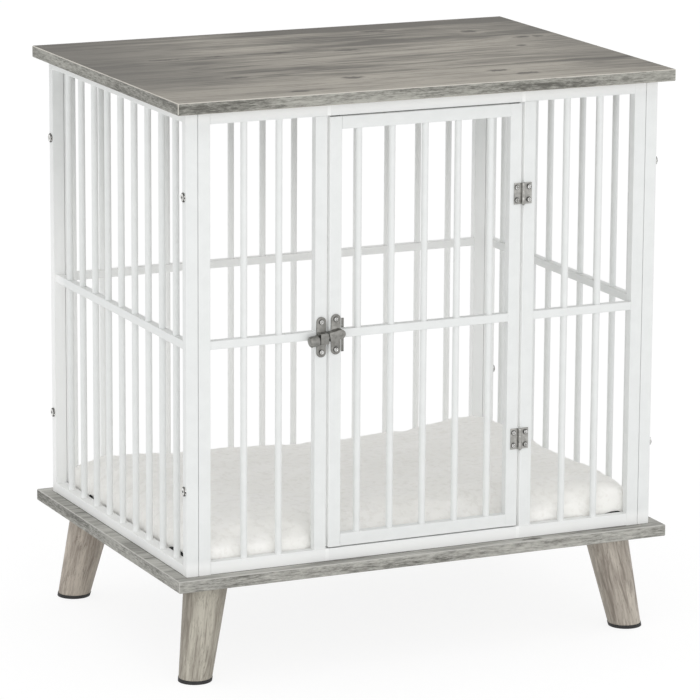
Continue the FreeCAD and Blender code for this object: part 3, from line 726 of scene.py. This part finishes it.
def soften(piece, width, segments, edgeSlot):
    bevel = piece.modifiers.new("soften", "BEVEL")
    bevel.width = width
    bevel.segments = segments
    bevel.limit_method = "ANGLE"
    bevel.angle_limit = softEdges["sharpFrom"]
    bevel.material = edgeSlot
    bevel.use_clamp_overlap = True
    applyAll(piece)
    selectOnly(piece)
    bpy.ops.object.shade_smooth_by_angle(angle=softEdges["smoothBelow"])


def finishPiece(piece, body, slotName, *replaced):
    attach(piece, body)
    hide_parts(*replaced)


def makeHardware(pieces):
    for pieceName, (nodeName, body, width) in pieces.items():
        piece = mergedCopy(nodeName, pieceName)
        piece.data.materials.append(hingeNickel if pieceName.startswith("hinge") else nickel)
        # the rounded edges get the darker nickel, painted shade
        piece.data.materials.append(nickelRimShade)
        soften(piece, width, 2, 1)
        finishPiece(piece, body, "nickel_steel", nodeName)


def across(place, axis):
    # the two coordinates across a screw's axis
    return [place[i] for i in range(3) if i != axis]


def insideRecess(polygon, axis, middle, corners, reach, levels):
    # all its corners lie within the recess, and its own level isn't the head's top
    for index in polygon.vertices:
        if math.dist(middle, across(corners[index], axis)) > reach * recess["slack"]:
            return False
    low, high = recess["depth"]
    top = max(levels, key=abs)
    return low < abs(abs(polygon.center[axis]) - abs(top)) < high


def makeScrews(pieces):
    for pieceName, (nodeName, body, axis, reach) in pieces.items():
        piece = mergedCopy(nodeName, pieceName)
        piece.data.materials.append(screwSteel)
        piece.data.materials.append(paintedRecessShade)
        # faces inside a head's recess: near the axis and a little below the head's top; they get
        # the dark metal, painted shade
        corners = [vertex.co for vertex in piece.data.vertices]
        heads = {}
        for polygon in piece.data.polygons:
            if abs(polygon.normal[axis]) > recess["flat"]:
                middle = tuple(round(value, 3) for value in across(polygon.center, axis))
                heads.setdefault(middle, []).append(polygon.center[axis])
        for polygon in piece.data.polygons:
            for middle, levels in heads.items():
                away = math.dist(middle, across(polygon.center, axis))
                if away < reach and insideRecess(polygon, axis, middle, corners, reach, levels):
                    polygon.material_index = 1
        soften(piece, recess["rounding"], 1, -1)
        finishPiece(piece, body, "nickel_steel", nodeName)


def makeFootPads(setup):
    for name in [name for name in nodes if name.startswith("foot_pad")]:
        piece = mergedCopy(name, "rubberFoot_" + name.removeprefix("foot_pad_"))
        piece.data.materials.append(rubber)
        soften(piece, setup["rounding"], setup["segments"], -1)
        finishPiece(piece, "crate", "pad", name)


makeHardware(hardware)
makeScrews(screws)
makeFootPads(footPads)
print("hardware and feet ready")

# The plush pad, blown up a little by a cloth simulation, then crumpled
cushionPad = {"voxel": 0.0052, "pressure": 4.0, "frames": 20, "quality": 4, "cap": 0.006,
              "shrink": (0.004, 0.004, 0.003), "tension": 12.0, "bending": 0.4,
              "folds": [(7.0, 0.0036), (17.0, 0.0024), (31.0, 0.0018)],
              "tufts": [(52.0, 0.0013), (125.0, 0.0008)],
              "wallX": 0.2875, "wallY": 0.2040, "floor": 0.1334, "thickness": 0.045,
              # places where it lies lower (or higher): x, y, reach, depth
              "dips": [(-0.20, 0.19, 0.09, 0.0022), (-0.03, 0.21, 0.11, 0.0060),
                       (0.13, 0.21, 0.11, 0.0085), (0.25, 0.20, 0.06, 0.004),
                       (-0.10, -0.05, 0.10, 0.003)],
              "rightRise": (0.15, 0.27, 0.005), "frontFall": (-0.14, -0.20, 0.009),
              "rightFree": (0.14, 0.25),
              # how far from a wall it is pressed outwards, how much, how much more low down,
              # and where towards its top the pressing gives way
              "shoulder": 0.045, "press": 1.3, "lowPress": 1.4, "lowPart": (0.3, 0.6),
              "loose": (0.62, 0.98), "looseness": 0.75}


def cushionStart(setup):
    pad = mergedCopy("cushion", "plushCushion")
    low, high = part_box("cushion")
    middle, half = (low + high) / 2, (high - low) / 2
    for vertex in pad.data.vertices:
        for axis in range(3):
            share = (half[axis] - setup["shrink"][axis]) / half[axis]
            vertex.co[axis] = middle[axis] + (vertex.co[axis] - middle[axis]) * share
    remesh = pad.modifiers.new("even", "REMESH")
    remesh.mode = "VOXEL"
    remesh.voxel_size = setup["voxel"]
    applyAll(pad)
    return pad


def puffUp(pad, setup):
    before = [vertex.co.copy() for vertex in pad.data.vertices]
    cloth = pad.modifiers.new("puff", "CLOTH")
    cloth.settings.use_pressure = True
    cloth.settings.uniform_pressure_force = setup["pressure"]
    cloth.settings.quality = setup["quality"]
    cloth.settings.effector_weights.gravity = 0
    cloth.settings.tension_stiffness = setup["tension"]
    cloth.settings.compression_stiffness = setup["tension"]
    cloth.settings.bending_stiffness = setup["bending"]
    cloth.point_cache.frame_start = 1
    cloth.point_cache.frame_end = setup["frames"]
    for number in range(1, setup["frames"] + 1):
        scene.frame_set(number)
    shown = pad.evaluated_get(bpy.context.evaluated_depsgraph_get())
    after = [vertex.co.copy() for vertex in shown.data.vertices]
    pad.modifiers.remove(cloth)
    scene.frame_set(1)
    for vertex, start, end in zip(pad.data.vertices, before, after):
        move = end - start
        vertex.co = start + move * min(1.0, setup["cap"] / max(move.length, 1e-9))


def crumple(pad, waves, seed):
    # soft lumps along the surface's own direction
    normals = [vertex.normal.copy() for vertex in pad.data.vertices]
    for vertex, normal in zip(pad.data.vertices, normals):
        height = 0.0
        for number, (pitch, size) in enumerate(waves):
            spot = vertex.co * pitch + Vector((seed, number * 7.3, seed * 0.7))
            height += size * noise.noise(spot)
        vertex.co += normal * height


def step(value, start, end):
    share = max(0.0, min(1.0, (value - start) / (end - start)))
    return share * share * (3 - 2 * share)


def settle(pad, setup):
    # the pad presses up against the right side, falls to the front, and has a few dips
    for vertex in pad.data.vertices:
        place = vertex.co
        share = max(0.0, (place.z - setup["floor"]) / setup["thickness"])
        for x, y, reach, depth in setup["dips"]:
            away = math.dist((place.x, place.y), (x, y)) / reach
            place.z -= depth * share * math.exp(-away * away)
        start, end, height = setup["rightRise"]
        place.z += height * share * step(place.x, start, end)
        start, end, height = setup["frontFall"]
        free = 1 - step(place.x, *setup["rightFree"])
        place.z -= height * share * free * step(place.y, start, end)
        firm = 1 - setup["looseness"] * step(share, *setup["loose"])
        hold = max(firm, step(place.x, *setup["rightFree"]))
        for axis, wall in ((0, setup["wallX"]), (1, setup["wallY"])):
            gap = wall - abs(place[axis])
            if 0 < gap < setup["shoulder"]:
                power = setup["press"] + setup["lowPress"] * (
                    1 - step(share, *setup["lowPart"]))
                fuller = gap * (gap / setup["shoulder"]) ** power
                place[axis] += math.copysign((gap - fuller) * hold, place[axis])


def holdInside(pad, setup):
    # the walls and the floor that hold the pad
    for vertex in pad.data.vertices:
        place = vertex.co
        place.x = max(-setup["wallX"], min(setup["wallX"], place.x))
        place.y = max(-setup["wallY"], min(setup["wallY"], place.y))
        place.z = max(setup["floor"], place.z)


def makeCushion(setup):
    pad = cushionStart(setup)
    puffUp(pad, setup)
    crumple(pad, setup["folds"], 3.1)
    settle(pad, setup)
    holdInside(pad, setup)
    rounding = pad.modifiers.new("round", "SUBSURF")
    rounding.levels = rounding.render_levels = 1
    applyAll(pad)
    crumple(pad, setup["tufts"], 9.4)
    holdInside(pad, setup)
    selectOnly(pad)
    bpy.ops.object.shade_smooth()
    pad.data.materials.append(plush)
    finishPiece(pad, "cushion", "plush", "cushion")
    return pad


plushCushion = makeCushion(cushionPad)
print("cushion ready:", len(plushCushion.data.polygons), "faces")

# The pad's dark underside: a cloth tray whose rim shows as a thin black line over the rails.
# Rises: side, place along it, reach and extra height
underside = {"halfX": 0.2884, "halfY": 0.2049, "floor": 0.1325, "corner": 0.019,
             "cornerCuts": 6, "longEdge": 0.1, "sideCuts": 60, "rim": 0.0060,
             "thickness": 0.0006, "smoothBelow": math.radians(40),
             # for each side the axis across it, and how far out it starts
             "sides": {"left": (0, -0.28), "front": (1, -0.2)},
             "rises": [("left", -0.150, 0.030, 0.0090), ("front", 0.262, 0.016, 0.0098),
                       ("left", 0.128, 0.010, 0.0072)],
             "wave": (30.0, 0.0006)}


def makeUnderside(setup):
    bpy.ops.object.select_all(action="DESELECT")
    bpy.ops.mesh.primitive_plane_add(size=2, location=(0, 0, 0))
    tray = bpy.context.object
    tray.name = "cushionUnderside"
    for vertex in tray.data.vertices:
        vertex.co = (vertex.co.x * setup["halfX"], vertex.co.y * setup["halfY"],
                     setup["floor"])
    editMode(tray)
    bpy.ops.mesh.select_all(action="SELECT")
    bpy.ops.mesh.bevel(offset=setup["corner"], segments=setup["cornerCuts"],
                       affect="VERTICES")
    bpy.ops.object.mode_set(mode="OBJECT")
    corners = [vertex.co.copy() for vertex in tray.data.vertices]
    longEdge = setup["longEdge"]
    pickEdges(tray, lambda ends: (corners[ends[0]] - corners[ends[1]]).length > longEdge)
    editMode(tray)
    bpy.ops.mesh.subdivide(number_cuts=setup["sideCuts"])
    bpy.ops.mesh.select_mode(type="EDGE")
    bpy.ops.mesh.select_all(action="SELECT")
    bpy.ops.mesh.extrude_edges_move(
        TRANSFORM_OT_translate={"value": (0, 0, setup["rim"])})
    bpy.ops.object.mode_set(mode="OBJECT")
    for vertex in tray.data.vertices:
        place = vertex.co
        if place.z < setup["floor"] + setup["rim"] / 2:
            continue
        pitch, size = setup["wave"]
        place.z += size * noise.noise(place * pitch)
        for side, middle, reach, height in setup["rises"]:
            axis, start = setup["sides"][side]
            if place[axis] < start:
                away = (place[1 - axis] - middle) / reach
                place.z += height * math.exp(-away ** 4)
    editMode(tray)
    bpy.ops.mesh.select_all(action="SELECT")
    bpy.ops.mesh.remove_doubles(threshold=0.00001)
    bpy.ops.mesh.normals_make_consistent(inside=False)
    bpy.ops.object.mode_set(mode="OBJECT")
    thick = tray.modifiers.new("thick", "SOLIDIFY")
    thick.thickness = setup["thickness"]
    thick.offset = -1
    applyAll(tray)
    selectOnly(tray)
    bpy.ops.object.shade_smooth_by_angle(angle=setup["smoothBelow"])
    tray.data.materials.append(darkCloth)
    finishPiece(tray, "cushion", "underside_cloth", "cushion_underside")


makeUnderside(underside)
print("underside ready")
